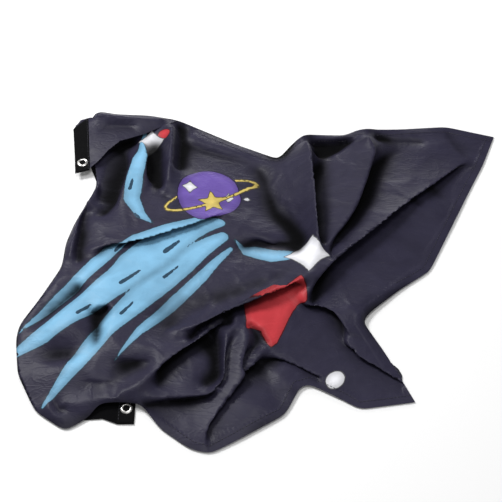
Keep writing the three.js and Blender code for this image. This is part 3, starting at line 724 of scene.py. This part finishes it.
def handling_group():
    """Soft dents and short sharp wrinkles left by handling: their height, and patches of wear."""
    tree, start, end = group(
        "Handling wrinkles",
        [("Position", "NodeSocketVector")],
        [("Height", "NodeSocketFloat"), ("Patches", "NodeSocketFloat")],
    )
    turned = add(tree, "ShaderNodeMapping", inputs={"Vector": start.outputs[0], "Rotation": (0, 0, 0.6),
                                                      "Scale": (1.0, 2.2, 1.0)}).outputs[0]
    soft = add(tree, "ShaderNodeTexNoise", inputs={"Vector": turned, "Scale": 16.0, "Detail": 2.0,
                                                    "Distortion": 0.8})
    bend = add(tree, "ShaderNodeTexNoise", inputs={"Vector": turned, "Scale": 34.0, "Detail": 1.0,
                                                    "Distortion": 1.4})
    ridge = maths(tree, "ABSOLUTE", maths(tree, "SUBTRACT", bend.outputs["Fac"], 0.5))
    line = maths(tree, "SUBTRACT", 1.0, maths(tree, "MULTIPLY", ridge, 9.0))
    sharp = maths(tree, "MAXIMUM", line, 0.0)
    height = maths(tree, "MULTIPLY_ADD", sharp, 0.3, maths(tree, "MULTIPLY", soft.outputs["Fac"], 0.5))
    tree.links.new(height, end.inputs[0])
    tree.links.new(soft.outputs["Fac"], end.inputs[1])
    return tree


def named(tree, name):
    """Value of one of the piece's own attributes."""
    return add(tree, "ShaderNodeAttribute", attribute_name=name).outputs["Fac"]


def cloth_material(colours):
    """Printed satin: dyed ground, ink areas with a dark key line, painted shade in the hollows and on the
    folded-under strip, weave and wrinkles.
    """
    made, tree, shader = material("Printed satin")
    place = add(tree, "ShaderNodeTexCoord").outputs["UV"]
    weave = add(tree, "ShaderNodeGroup", node_tree=weave_group(),
                inputs={"Position": place, "Threads per metre": 1500.0})
    marks = add(tree, "ShaderNodeGroup", node_tree=handling_group(), inputs={"Position": place})
    wear_tone = ranged(tree, marks.outputs["Patches"], 0.3, 0.7, 0.9, 1.12)
    tone = mixed(tree, weave.outputs["Tint"], toned(colours.cloth, 0.9), toned(colours.cloth, 1.1))
    inks = (("print_blue", colours.blue), ("print_purple", colours.purple), ("print_red", colours.red),
            ("print_white", colours.white), ("print_yellow", colours.yellow))
    for name, ink in inks:
        depth = named(tree, name)
        body = mixed(tree, ranged(tree, depth, 0.0, 9.0), toned(ink, 0.62), tuple(ink))
        inked = mixed(tree, ranged(tree, depth, 0.9, 1.3), toned(ink, 0.10), body)
        tone = mixed(tree, ranged(tree, depth, -0.2, 0.2), tone, inked)
    strokes = ranged(tree, named(tree, "print_strokes"), -0.2, 0.2)
    tone = mixed(tree, strokes, tone, (0.02, 0.05, 0.085, 1))
    # Random patches of wear times painted shade: the colour is darkened down to 3 % in the hollows and on
    # the folded-under strip.
    wear_and_painted_shade = maths(tree, "MULTIPLY", wear_tone, ranged(tree, named(tree, "painted_hollow_shade"), 0.0, 1.0, 1.0, 0.03))
    tone = add(tree, "ShaderNodeVectorMath", operation="SCALE", inputs={0: tone, "Scale": wear_and_painted_shade}).outputs[0]
    tree.links.new(tone, shader.inputs["Base Color"])
    rough = ranged(tree, weave.outputs["Tint"], 0.0, 1.0, 0.34, 0.46)
    # The same painted shade attribute also raises the roughness in the hollows.
    sunk = maths(tree, "MULTIPLY", named(tree, "painted_hollow_shade"), 0.95)
    tree.links.new(maths(tree, "MAXIMUM", rough, sunk), shader.inputs["Roughness"])
    hem = bump(tree, named(tree, "hem_step"), 0.0007, 0.8)
    soft = bump(tree, marks.outputs["Height"], 0.003, 0.16, hem)
    fine = bump(tree, weave.outputs["Height"], 0.00008, 0.12, soft)
    tree.links.new(fine, shader.inputs["Normal"])
    shader.inputs["Specular IOR Level"].default_value = 0.13
    return made


def tape_material(colours):
    """Black woven tape: ribs across the width, a fine cross weave and a little lint."""
    made, tree, shader = material("Woven black tape")
    place = add(tree, "ShaderNodeTexCoord").outputs["UV"]
    weave = add(tree, "ShaderNodeGroup", node_tree=weave_group(),
                inputs={"Position": place, "Threads per metre": 620.0})
    ribs = add(tree, "ShaderNodeTexWave", wave_type="BANDS", bands_direction="Y",
               inputs={"Vector": place, "Scale": 210.0, "Distortion": 0.6, "Detail": 1.0})
    lint = add(tree, "ShaderNodeTexNoise", inputs={"Vector": place, "Scale": 900.0, "Detail": 2.0})
    spots = maths(tree, "MULTIPLY", ranged(tree, lint.outputs["Fac"], 0.62, 0.74), 0.12)
    tone = mixed(tree, ribs.outputs["Fac"], toned(colours.tape, 0.7), toned(colours.tape, 1.8))
    tone = mixed(tree, spots, tone, (0.05, 0.05, 0.055, 1))
    tree.links.new(tone, shader.inputs["Base Color"])
    height = maths(tree, "MULTIPLY_ADD", weave.outputs["Height"], 0.6, ribs.outputs["Fac"])
    tree.links.new(bump(tree, height, 0.00025, 0.8), shader.inputs["Normal"])
    shader.inputs["Roughness"].default_value = 0.9
    shader.inputs["Specular IOR Level"].default_value = 0.12
    return made


def thread_material(colours):
    """Twisted polyester thread."""
    made, tree, shader = material("Twisted thread")
    place = add(tree, "ShaderNodeTexCoord").outputs["Object"]
    twist = add(tree, "ShaderNodeTexWave", wave_type="BANDS", bands_direction="DIAGONAL",
                inputs={"Vector": place, "Scale": 900.0, "Distortion": 0.3})
    tone = mixed(tree, twist.outputs["Fac"], toned(colours.thread, 0.6), toned(colours.thread, 1.6))
    tree.links.new(tone, shader.inputs["Base Color"])
    tree.links.new(bump(tree, twist.outputs["Fac"], 0.00008, 0.7), shader.inputs["Normal"])
    shader.inputs["Roughness"].default_value = 0.5
    return made


def metal_material(colours):
    """Nickel plating with fine scratches and dulled patches."""
    made, tree, shader = material("Nickel plating")
    place = add(tree, "ShaderNodeTexCoord").outputs["Object"]
    patches = add(tree, "ShaderNodeTexNoise", inputs={"Vector": place, "Scale": 320.0, "Detail": 4.0})
    drawn = add(tree, "ShaderNodeMapping", inputs={"Vector": place, "Scale": (1.0, 14.0, 1.0)}).outputs[0]
    scratches = add(tree, "ShaderNodeTexNoise", inputs={"Vector": drawn, "Scale": 700.0, "Detail": 3.0})
    tone = mixed(tree, patches.outputs["Fac"], toned(colours.metal, 0.78), toned(colours.metal, 1.15))
    tree.links.new(tone, shader.inputs["Base Color"])
    rough = ranged(tree, patches.outputs["Fac"], 0.3, 0.7, 0.2, 0.42)
    tree.links.new(rough, shader.inputs["Roughness"])
    tree.links.new(bump(tree, scratches.outputs["Fac"], 0.00004, 0.5), shader.inputs["Normal"])
    shader.inputs["Metallic"].default_value = 1.0
    return made


def floor_material(colours):
    """Plain pale floor with a hardly visible mottle."""
    made, tree, shader = material("Pale floor")
    place = add(tree, "ShaderNodeTexCoord").outputs["Object"]
    mottle = add(tree, "ShaderNodeTexNoise", inputs={"Vector": place, "Scale": 3.0, "Detail": 2.0})
    tone = mixed(tree, mottle.outputs["Fac"], toned(colours.floor, 0.985), tuple(colours.floor))
    tree.links.new(tone, shader.inputs["Base Color"])
    shader.inputs["Roughness"].default_value = 0.9
    return made


# ---- Mesh helpers -------------------------------------------------------------------------------


def new_object(name, mesh, finish):
    """Object at the origin, in the scene, with one material."""
    made = bpy.data.objects.new(name, mesh)
    bpy.context.scene.collection.objects.link(made)
    mesh.materials.append(finish)
    return made


def mesh_of(shell, name):
    """Mesh made from a finished bmesh."""
    mesh = bpy.data.meshes.new(name)
    shell.to_mesh(mesh)
    shell.free()
    return mesh


def tree_of(mesh):
    """Search tree of a mesh."""
    shell = bmesh.new()
    shell.from_mesh(mesh)
    tree = BVHTree.FromBMesh(shell)
    shell.free()
    return tree


def plan_shift():
    """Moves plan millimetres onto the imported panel's middle, in metres."""
    low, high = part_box("printed_panel")
    xs = [p[0] for p in OUTLINE]
    ys = [p[1] for p in OUTLINE]
    middle = np.array([(min(xs) + max(xs)) / 2, (min(ys) + max(ys)) / 2]) * MM
    return np.array([(low[0] + high[0]) / 2, (low[1] + high[1]) / 2]) - middle


def set_floats(mesh, name, values):
    """Stores one number for each point."""
    mesh.attributes.new(name, "FLOAT", "POINT").data.foreach_set("value", np.asarray(values, np.float32))


def wrinkled(xy, z, amount):
    """Small irregular rises and short sharp creases, stronger on the crests than in the hollows."""
    rise = np.array([
        noise.noise(Vector((x * 0.021, y * 0.030, 3.1))) * 1.4
        + noise.noise(Vector((x * 0.055 + y * 0.02, y * 0.047 - x * 0.02, 8.7))) * 0.5
        + max(0, 0.09 - abs(noise.noise(Vector((x * 0.016 + y * 0.010, y * 0.022 - x * 0.005, 5.3))))) * 15
        + max(0, 0.07 - abs(noise.noise(Vector((x * 0.024 - y * 0.014, y * 0.013 + x * 0.009, 11.9))))) * 14
        for x, y in xy
    ])
    return z + amount * rise * np.clip(z / 10, 0.15, 1.2)


def print_areas(mesh, xy, printed):
    """Distance into each ink area, in millimetres, kept on the cloth's points."""
    far = np.where(printed, 0, -200)
    blue = np.max([-away(s, xy)[0] for s in STREAMS], axis=0)
    disc = DISC[2] - np.hypot(xy[:, 0] - DISC[0], xy[:, 1] - DISC[1])
    star = []
    for k in range(10):
        size = STAR[2] if k % 2 == 0 else STAR[3]
        angle = math.radians(100 + 36 * k)
        star.append((STAR[0] + size * math.cos(angle), STAR[1] + size * math.sin(angle)))
    spark = np.full(len(xy), -200.0)
    for x, y, size in SPARKS:
        gap = np.abs(xy[:, 0] - x) ** 0.75 + np.abs(xy[:, 1] - y) ** 0.75
        spark = np.maximum(spark, (size**0.75 - gap) * 1.6)
    dot = DOT[2] - np.hypot(xy[:, 0] - DOT[0], xy[:, 1] - DOT[1])
    white = np.maximum(spark, dot)
    turn = math.radians(RING[3])
    along = (xy[:, 0] - DISC[0]) * math.cos(turn) + (xy[:, 1] - DISC[1]) * math.sin(turn)
    aside = (xy[:, 1] - DISC[1]) * math.cos(turn) - (xy[:, 0] - DISC[0]) * math.sin(turn)
    size = np.hypot(along / RING[0], aside / RING[1])
    slope = np.hypot(along / RING[0] ** 2, aside / RING[1] ** 2) / np.maximum(size, 1e-6)
    ring = RING[2] - np.abs(size - 1) / np.maximum(slope, 1e-6)
    ring = np.where((disc > 0) & (aside > 0), -60, ring)
    red_dot = RED_DOT[2] - np.hypot(xy[:, 0] - RED_DOT[0], xy[:, 1] - RED_DOT[1])
    red = np.max([inside_by(p, xy) for p in RED_PATCHES] + [red_dot], axis=0)
    strokes = np.max([-away([(a, b, w), (c, d, w * 0.6)], xy)[0] for a, b, c, d, w in STROKES], axis=0)
    areas = {
        "blue": blue, "purple": disc, "yellow": np.maximum(inside_by(star, xy), ring), "white": white,
        "red": red, "strokes": strokes,
    }
    for name, depth in areas.items():
        set_floats(mesh, "print_" + name, np.maximum(depth + far, -60))


# ---- Pieces -------------------------------------------------------------------------------------


class CAPE_OT_lay_cloth(bpy.types.Operator):
    """Lay the printed cloth in its folds, with the turned corner and the folded heading strip"""

    bl_idname = "cape.lay_cloth"
    bl_label = "Lay the cloth"

    def execute(self, context):
        sizes, colours = context.scene.cape_sizes, context.scene.cape_colours
        step = sizes.net_spacing / MM
        rim, corners = spaced(OUTLINE, step, closed=True)
        rim = softened(rim, corners)
        body = netted(rim, CREASES, step, 5)
        left = rim[corners[STRIP_START]:corners[STRIP_END] + 1]
        strip_side, _ = spaced(STRIP_EDGE, step)
        strip = netted(np.concatenate([left, strip_side[1:-1]]), STRIP_MARKS, step, 6)
        fold = np.concatenate([rim[corners[STRIP_END]:], rim[:1]])
        hem_side, _ = spaced(CORNER_HEM, step)
        corner = netted(np.concatenate([fold, hem_side[1:-1]]), CORNER_MARKS, step, 7)
        shift = plan_shift()
        verts, tris, flat, layer = [], [], [], []
        for index, (xy, faces, want) in enumerate((body, strip, corner)):
            links = links_of(faces)
            count = len(xy)
            z = spread_out(links, count, want[:, 0], want[:, 1], 1.0, HEIGHT_STIFFNESS, want[:, 4])
            lean_x = spread_out(links, count, want[:, 2], want[:, 1], 1.0, LEAN_STIFFNESS)
            lean_y = spread_out(links, count, want[:, 3], want[:, 1], 1.0, LEAN_STIFFNESS)
            held = want[:, 1] > SHARP_FIRM
            if index == 0:
                z = np.where(held, z, wrinkled(xy, z, WRINKLES))
            z = np.where(held, want[:, 0], np.maximum(z, LOWEST_OTHER if index else LOWEST_BODY))
            moved = xy + np.stack([lean_x, lean_y], 1) * (~held[:, None])
            for _ in range(SMOOTHING if index == 0 else 0):
                for values in (moved[:, 0], moved[:, 1], z):
                    values[:] = np.where(held, values, eased(links, count, values, 1, SMOOTHING_SHARE))
            place = np.column_stack([moved * MM + shift, z * MM])
            tris += [tuple(int(i) + len(verts) for i in f) for f in faces]
            verts += [tuple(p) for p in place]
            flat += [tuple(p) for p in xy]
            layer += [index] * count
        mesh = bpy.data.meshes.new("printed_cloth")
        mesh.from_pydata(verts, [], tris)
        flat, layer = np.array(flat), np.array(layer)
        set_floats(mesh, "plan_x", flat[:, 0])
        set_floats(mesh, "plan_y", flat[:, 1])
        set_floats(mesh, "layer", layer)
        shell = bmesh.new()
        shell.from_mesh(mesh)
        bmesh.ops.remove_doubles(shell, verts=shell.verts, dist=0.0002)
        bmesh.ops.recalc_face_normals(shell, faces=shell.faces)
        level = sum(f.normal.z * f.calc_area() for f in shell.faces)
        if level < 0:
            bmesh.ops.reverse_faces(shell, faces=shell.faces)
        shell.to_mesh(mesh)
        shell.free()
        cloth = new_object("printed_cloth", mesh, cloth_material(colours))
        mesh.shade_smooth()
        count = len(mesh.vertices)
        read = {n: np.zeros(count, np.float32) for n in ("plan_x", "plan_y", "layer")}
        for name, values in read.items():
            mesh.attributes[name].data.foreach_get("value", values)
        xy = np.column_stack([read["plan_x"], read["plan_y"]]).astype(float)
        place = np.zeros(count * 3, np.float32)
        mesh.vertices.foreach_get("co", place)
        height = place[2::3].astype(float) / MM
        ends = np.zeros(len(mesh.edges) * 2, np.int64)
        mesh.edges.foreach_get("vertices", ends)
        links = ends.reshape(-1, 2)
        # Painted shade in the folds: each point's colour is darkened by how far it lies below the averaged
        # cloth around it, standing in for the shadow in the hollows.
        around = eased(links, count, height, PAINTED_SHADE_ROUNDS)
        painted_hollow_shade = eased(links, count, np.clip((around - height - PAINTED_SHADE_START) / PAINTED_SHADE_SPAN, 0, 1), 2)
        body_layer = read["layer"] < 0.5
        strip_layer = ~body_layer & (read["layer"] < 1.5)
        # The folded-under heading strip is painted fully dark, standing in for the deep shade it lies in.
        set_floats(mesh, "painted_hollow_shade", np.where(strip_layer, 1.0, painted_hollow_shade))
        print_areas(mesh, xy, body_layer)
        edge = np.array([p[:2] for p in OUTLINE[ALL_HEMS]], float)
        gap, _ = away(edge, xy)
        set_floats(mesh, "hem_step", np.where(body_layer, np.clip((HEM_INSET + 2 - gap) / 1.5, 0, 1), 0))
        net = mesh.uv_layers.new(name="cloth_plan")
        order = np.zeros(len(mesh.loops), np.int64)
        mesh.loops.foreach_get("vertex_index", order)
        net.data.foreach_set("uv", (xy[order] * MM).astype(np.float32).ravel())
        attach(cloth, "root")
        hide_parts("printed_panel")
        return {"FINISHED"}


def resting_height(tree, x, y):
    """Height of the topmost cloth at a place, in metres, or None beside it."""
    hit, _, _, _ = tree.ray_cast(Vector((x, y, 0.2)), Vector((0, 0, -1)))
    return None if hit is None else hit.z


def ribbon(shell, layer, rows, thickness):
    """Closed flat strip through rows of points, with softly rounded long edges."""
    half = thickness / 2
    rings = []
    run = 0.0
    for k, row in enumerate(rows):
        if k:
            run += (row[len(row) // 2] - rows[k - 1][len(row) // 2]).length
        ahead = rows[min(k + 1, len(rows) - 1)][0] - rows[max(k - 1, 0)][0]
        across = (row[-1] - row[0]).normalized()
        up = across.cross(ahead).normalized()
        if up.z < 0:
            up = -up
        span = (row[-1] - row[0]).length
        top, low = [], []
        for i, point in enumerate(row):
            share = 0.45 if i in (0, len(row) - 1) else 1.0
            top.append((point + up * half * share, i / (len(row) - 1) * span))
            low.append((point - up * half * share, i / (len(row) - 1) * span))
        ring = [(shell.verts.new(p), (u, run)) for p, u in top + low[::-1]]
        rings.append(ring)
    for a, b in zip(rings, rings[1:]):
        size = len(a)
        for i in range(size):
            corners = (a[i], a[(i + 1) % size], b[(i + 1) % size], b[i])
            face = shell.faces.new([c[0] for c in corners])
            for loop, corner in zip(face.loops, corners):
                loop[layer].uv = corner[1]
    for ring in (rings[0], rings[-1]):
        face = shell.faces.new([c[0] for c in ring])
        for loop, corner in zip(face.loops, ring):
            loop[layer].uv = corner[1]


def between(first, second, share):
    """Point part of the way between two plan points."""
    return tuple(a + (b - a) * share for a, b in zip(first, second))


class CAPE_OT_sew_tape(bpy.types.Operator):
    """Fold the woven tape over the heading edge: the low run and the end on the turned corner"""

    bl_idname = "cape.sew_tape"
    bl_label = "Sew the heading tape"

    def execute(self, context):
        sizes, colours = context.scene.cape_sizes, context.scene.cape_colours
        shift = plan_shift()
        tree = tree_of(bpy.data.objects["printed_cloth"].data)
        shell = bmesh.new()
        layer = shell.loops.layers.uv.new("tape_plan")
        run, _ = spaced(TAPE_RUN, 5)
        rows = []
        for k, point in enumerate(run):
            ahead = run[min(k + 1, len(run) - 1)][:2] - run[max(k - 1, 0)][:2]
            side = np.array([ahead[1], -ahead[0]]) / np.hypot(*ahead)
            rows.append([
                Vector((*((point[:2] + side * sizes.tape_width / MM * s) * MM + shift), point[2] * MM))
                for s in np.linspace(-0.5, 0.5, 9)
            ])
        ribbon(shell, layer, rows, sizes.tape_thickness)
        outer, _ = spaced(TAPE_OUTER, 3)
        rows = []
        for k in range(len(outer)):
            share = k / (len(outer) - 1)
            start = outer[k][:2]
            end = np.array(between(TAPE_INNER[0], TAPE_INNER[-1], share))
            row = []
            for s in np.linspace(0, 1, 9):
                x, y = (start + (end - start) * s) * MM + shift
                z = resting_height(tree, x, y)
                row.append(Vector((x, y, z if z else -1)))
            seen = [p.z for p in row if p.z > 0]
            for p in row:
                p.z = p.z if p.z > 0 else (seen[0] if seen else rows[-1][0].z)
            rows.append(row)
        ribbon(shell, layer, rows, sizes.tape_thickness)
        bmesh.ops.recalc_face_normals(shell, faces=shell.faces)
        mesh = mesh_of(shell, "woven_tape")
        mesh.shade_smooth()
        tape = new_object("woven_tape", mesh, tape_material(colours))
        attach(tape, "root")
        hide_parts("heading_tape")
        return {"FINISHED"}


class CAPE_OT_set_eyelets(bpy.types.Operator):
    """Press the two domed eyelets into the tape, and finish the washers behind it"""

    bl_idname = "cape.set_eyelets"
    bl_label = "Set the eyelets"

    def execute(self, context):
        sizes, colours = context.scene.cape_sizes, context.scene.cape_colours
        finish = metal_material(colours)
        for node in ("upper_eyelet", "lower_eyelet"):
            low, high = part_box(node)
            middle = Vector(((low[0] + high[0]) / 2, (low[1] + high[1]) / 2, 0))
            seat, tail = high[2] - 0.0007, low[2]
            rim, bore = sizes.eyelet_flange / 2, sizes.eyelet_bore / 2
            profile = [
                (bore + 0.0009, tail + 0.0001), (bore + 0.0003, tail), (bore, tail + 0.0003),
                (bore, seat), (bore + 0.0001, seat + 0.0005), (bore + 0.0006, seat + 0.0009),
                (bore + 0.0014, seat + 0.0011), (bore + 0.0024, seat + 0.00095),
                (rim - 0.0008, seat + 0.0005), (rim - 0.0001, seat + 0.0002), (rim, seat + 0.00005),
                (rim - 0.0002, seat), (bore + 0.0012, seat), (bore + 0.0006, seat - 0.0002),
                (bore + 0.0005, tail + 0.0006),
            ]
            shell = bmesh.new()
            ring = [shell.verts.new(middle + Vector((r, 0, z))) for r, z in profile]
            edges = [shell.edges.new((ring[k], ring[(k + 1) % len(ring)])) for k in range(len(ring))]
            bmesh.ops.spin(shell, geom=ring + edges, cent=middle, axis=(0, 0, 1), angle=math.tau,
                           steps=72, use_merge=True)
            bmesh.ops.remove_doubles(shell, verts=shell.verts, dist=1e-6)
            bmesh.ops.recalc_face_normals(shell, faces=shell.faces)
            mesh = mesh_of(shell, node + "_domed")
            mesh.shade_smooth()
            made = new_object(node + "_domed", mesh, finish)
            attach(made, "root")
            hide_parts(node)
        for node in ("upper_washer", "lower_washer"):
            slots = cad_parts[node].data.materials
            slots.clear()
            slots.append(finish)
        return {"FINISHED"}


def inset_path(path, inset):
    """Path moved to its right by the inset."""
    path = np.array(path, float)[:, :2]
    moved = []
    for k, point in enumerate(path):
        ahead = path[min(k + 1, len(path) - 1)] - path[max(k - 1, 0)]
        side = np.array([ahead[1], -ahead[0]]) / np.hypot(*ahead)
        moved.append(point + side * inset)
    return moved


def thread_row(name, nodes, path, finish, sizes, tree, shift):
    """Row of separate stitches lying on the cloth along a plan path."""
    run, _ = spaced([(*p, 0) for p in path], sizes.stitch_length / MM * 1.35)
    shell = bmesh.new()
    half, radius = sizes.stitch_length / 2, sizes.thread_width / 2
    for k in range(len(run) - 1):
        ahead = (run[k + 1] - run[k])[:2]
        ahead = ahead / np.hypot(*ahead)
        middle = (run[k][:2] + run[k + 1][:2]) / 2 * MM + shift
        ends = []
        for s in (-1, 1):
            x, y = middle + ahead * half * s
            z = resting_height(tree, x, y)
            if z is None:
                break
            ends.append(Vector((x, y, z)))
        if len(ends) < 2 or abs(ends[0].z - ends[1].z) > 0.0015:
            continue
        way = (ends[1] - ends[0]).normalized()
        side = way.cross(Vector((0, 0, 1))).normalized()
        up = side.cross(way)
        rings = []
        for share, size, rise in ((0.0, 0.35, -0.2), (0.14, 0.85, 0.35), (0.5, 1.0, 0.7),
                                  (0.86, 0.85, 0.35), (1.0, 0.35, -0.2)):
            centre = ends[0].lerp(ends[1], share) + up * radius * rise
            rings.append([
                shell.verts.new(centre + (side * math.cos(a) + up * math.sin(a)) * radius * size)
                for a in (math.tau * i / 6 for i in range(6))
            ])
        for a, b in zip(rings, rings[1:]):
            for i in range(6):
                shell.faces.new((a[i], a[(i + 1) % 6], b[(i + 1) % 6], b[i]))
        shell.faces.new(rings[0][::-1])
        shell.faces.new(rings[-1])
    bmesh.ops.recalc_face_normals(shell, faces=shell.faces)
    mesh = mesh_of(shell, name)
    mesh.shade_smooth()
    made = new_object(name, mesh, finish)
    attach(made, "root")
    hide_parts(*nodes)
    return made


class CAPE_OT_stitch(bpy.types.Operator):
    """Sew the rows of stitches along the hems and along the tape"""

    bl_idname = "cape.stitch"
    bl_label = "Stitch the hems and tape"

    def execute(self, context):
        sizes, colours = context.scene.cape_sizes, context.scene.cape_colours
        finish = thread_material(colours)
        shift, tree = plan_shift(), tree_of(bpy.data.objects["printed_cloth"].data)
        rows = {
            "top_hem_thread": ("top_hem_stitch", inset_path(OUTLINE[TOP_HEM], HEM_INSET)),
            "fly_hem_thread": ("fly_hem_stitch", inset_path(OUTLINE[FLY_HEM], HEM_INSET)),
            "bottom_hem_thread": ("bottom_hem_stitch", inset_path(OUTLINE[BOTTOM_HEM], HEM_INSET)),
        }
        for name, (node, path) in rows.items():
            thread_row(name, [node], path, finish, sizes, tree, shift)
        tape_tree = tree_of(bpy.data.objects["woven_tape"].data)
        upper = [(x - 2, y) for x, y in TAPE_INNER]
        thread_row("upper_tape_thread", ["upper_tape_stitch"], upper, finish, sizes, tape_tree, shift)
        low = [(-166, -206), (-166, -80)]
        thread_row("lower_tape_thread", ["lower_tape_stitch"], low, finish, sizes, tape_tree, shift)
        return {"FINISHED"}


class CAPE_OT_build_stage(bpy.types.Operator):
    """Set the plain pale floor, the soft lights and the camera"""

    bl_idname = "cape.build_stage"
    bl_label = "Build the stage"

    def execute(self, context):
        scene, colours = context.scene, context.scene.cape_colours
        shell = bmesh.new()
        bmesh.ops.create_grid(shell, x_segments=2, y_segments=2, size=6)
        new_object("studio_floor", mesh_of(shell, "studio_floor"), floor_material(colours))
        for name, place, size, power in LIGHTS:
            lamp = bpy.data.lights.new(name, "AREA")
            lamp.shape, lamp.size, lamp.energy = "DISK", size, power
            made = bpy.data.objects.new(name, lamp)
            scene.collection.objects.link(made)
            made.location = place
            made.rotation_euler = (-Vector(place)).to_track_quat("-Z", "Y").to_euler()
        world = bpy.data.worlds.new("studio")
        world.use_nodes = True
        background = world.node_tree.nodes["Background"].inputs
        background["Color"].default_value = (1, 1, 1, 1)
        background["Strength"].default_value = WORLD_STRENGTH
        scene.world = world
        lens = bpy.data.cameras.new("eye")
        lens.lens, lens.sensor_width = LENS, SENSOR
        eye = bpy.data.objects.new("eye", lens)
        scene.collection.objects.link(eye)
        aim, tilt = Vector(AIM), math.radians(TILT)
        eye.location = aim + Vector((0, -math.cos(tilt), math.sin(tilt))) * DISTANCE
        eye.rotation_euler = (aim - eye.location).to_track_quat("-Z", "Y").to_euler()
        scene.camera = eye
        scene.view_settings.view_transform = "Standard"
        return {"FINISHED"}


class CAPE_PT_panel(bpy.types.Panel):
    """Lists the steps that make the cape"""

    bl_idname = "CAPE_PT_panel"
    bl_label = "Printed cape"
    bl_space_type = "VIEW_3D"
    bl_region_type = "UI"
    bl_category = "Cape"

    def draw(self, context):
        for step in STEPS:
            self.layout.operator(step.bl_idname)
        for settings in (context.scene.cape_sizes, context.scene.cape_colours):
            for name in settings.__annotations__:
                self.layout.prop(settings, name)


STEPS = (CAPE_OT_build_stage, CAPE_OT_lay_cloth, CAPE_OT_sew_tape, CAPE_OT_set_eyelets, CAPE_OT_stitch)
CLASSES = (CapeSizes, CapeColours, *STEPS, CAPE_PT_panel)


def register():
    """Add the classes and the scene settings."""
    for made in CLASSES:
        bpy.utils.register_class(made)
    bpy.types.Scene.cape_sizes = bpy.props.PointerProperty(type=CapeSizes)
    bpy.types.Scene.cape_colours = bpy.props.PointerProperty(type=CapeColours)


def unregister():
    """Remove the scene settings and the classes."""
    del bpy.types.Scene.cape_colours
    del bpy.types.Scene.cape_sizes
    for made in reversed(CLASSES):
        bpy.utils.unregister_class(made)


def main():
    """Make every piece and the stage."""
    register()
    bpy.ops.cape.build_stage()
    bpy.ops.cape.lay_cloth()
    bpy.ops.cape.sew_tape()
    bpy.ops.cape.set_eyelets()
    bpy.ops.cape.stitch()


if __name__ == "__main__":
    main()
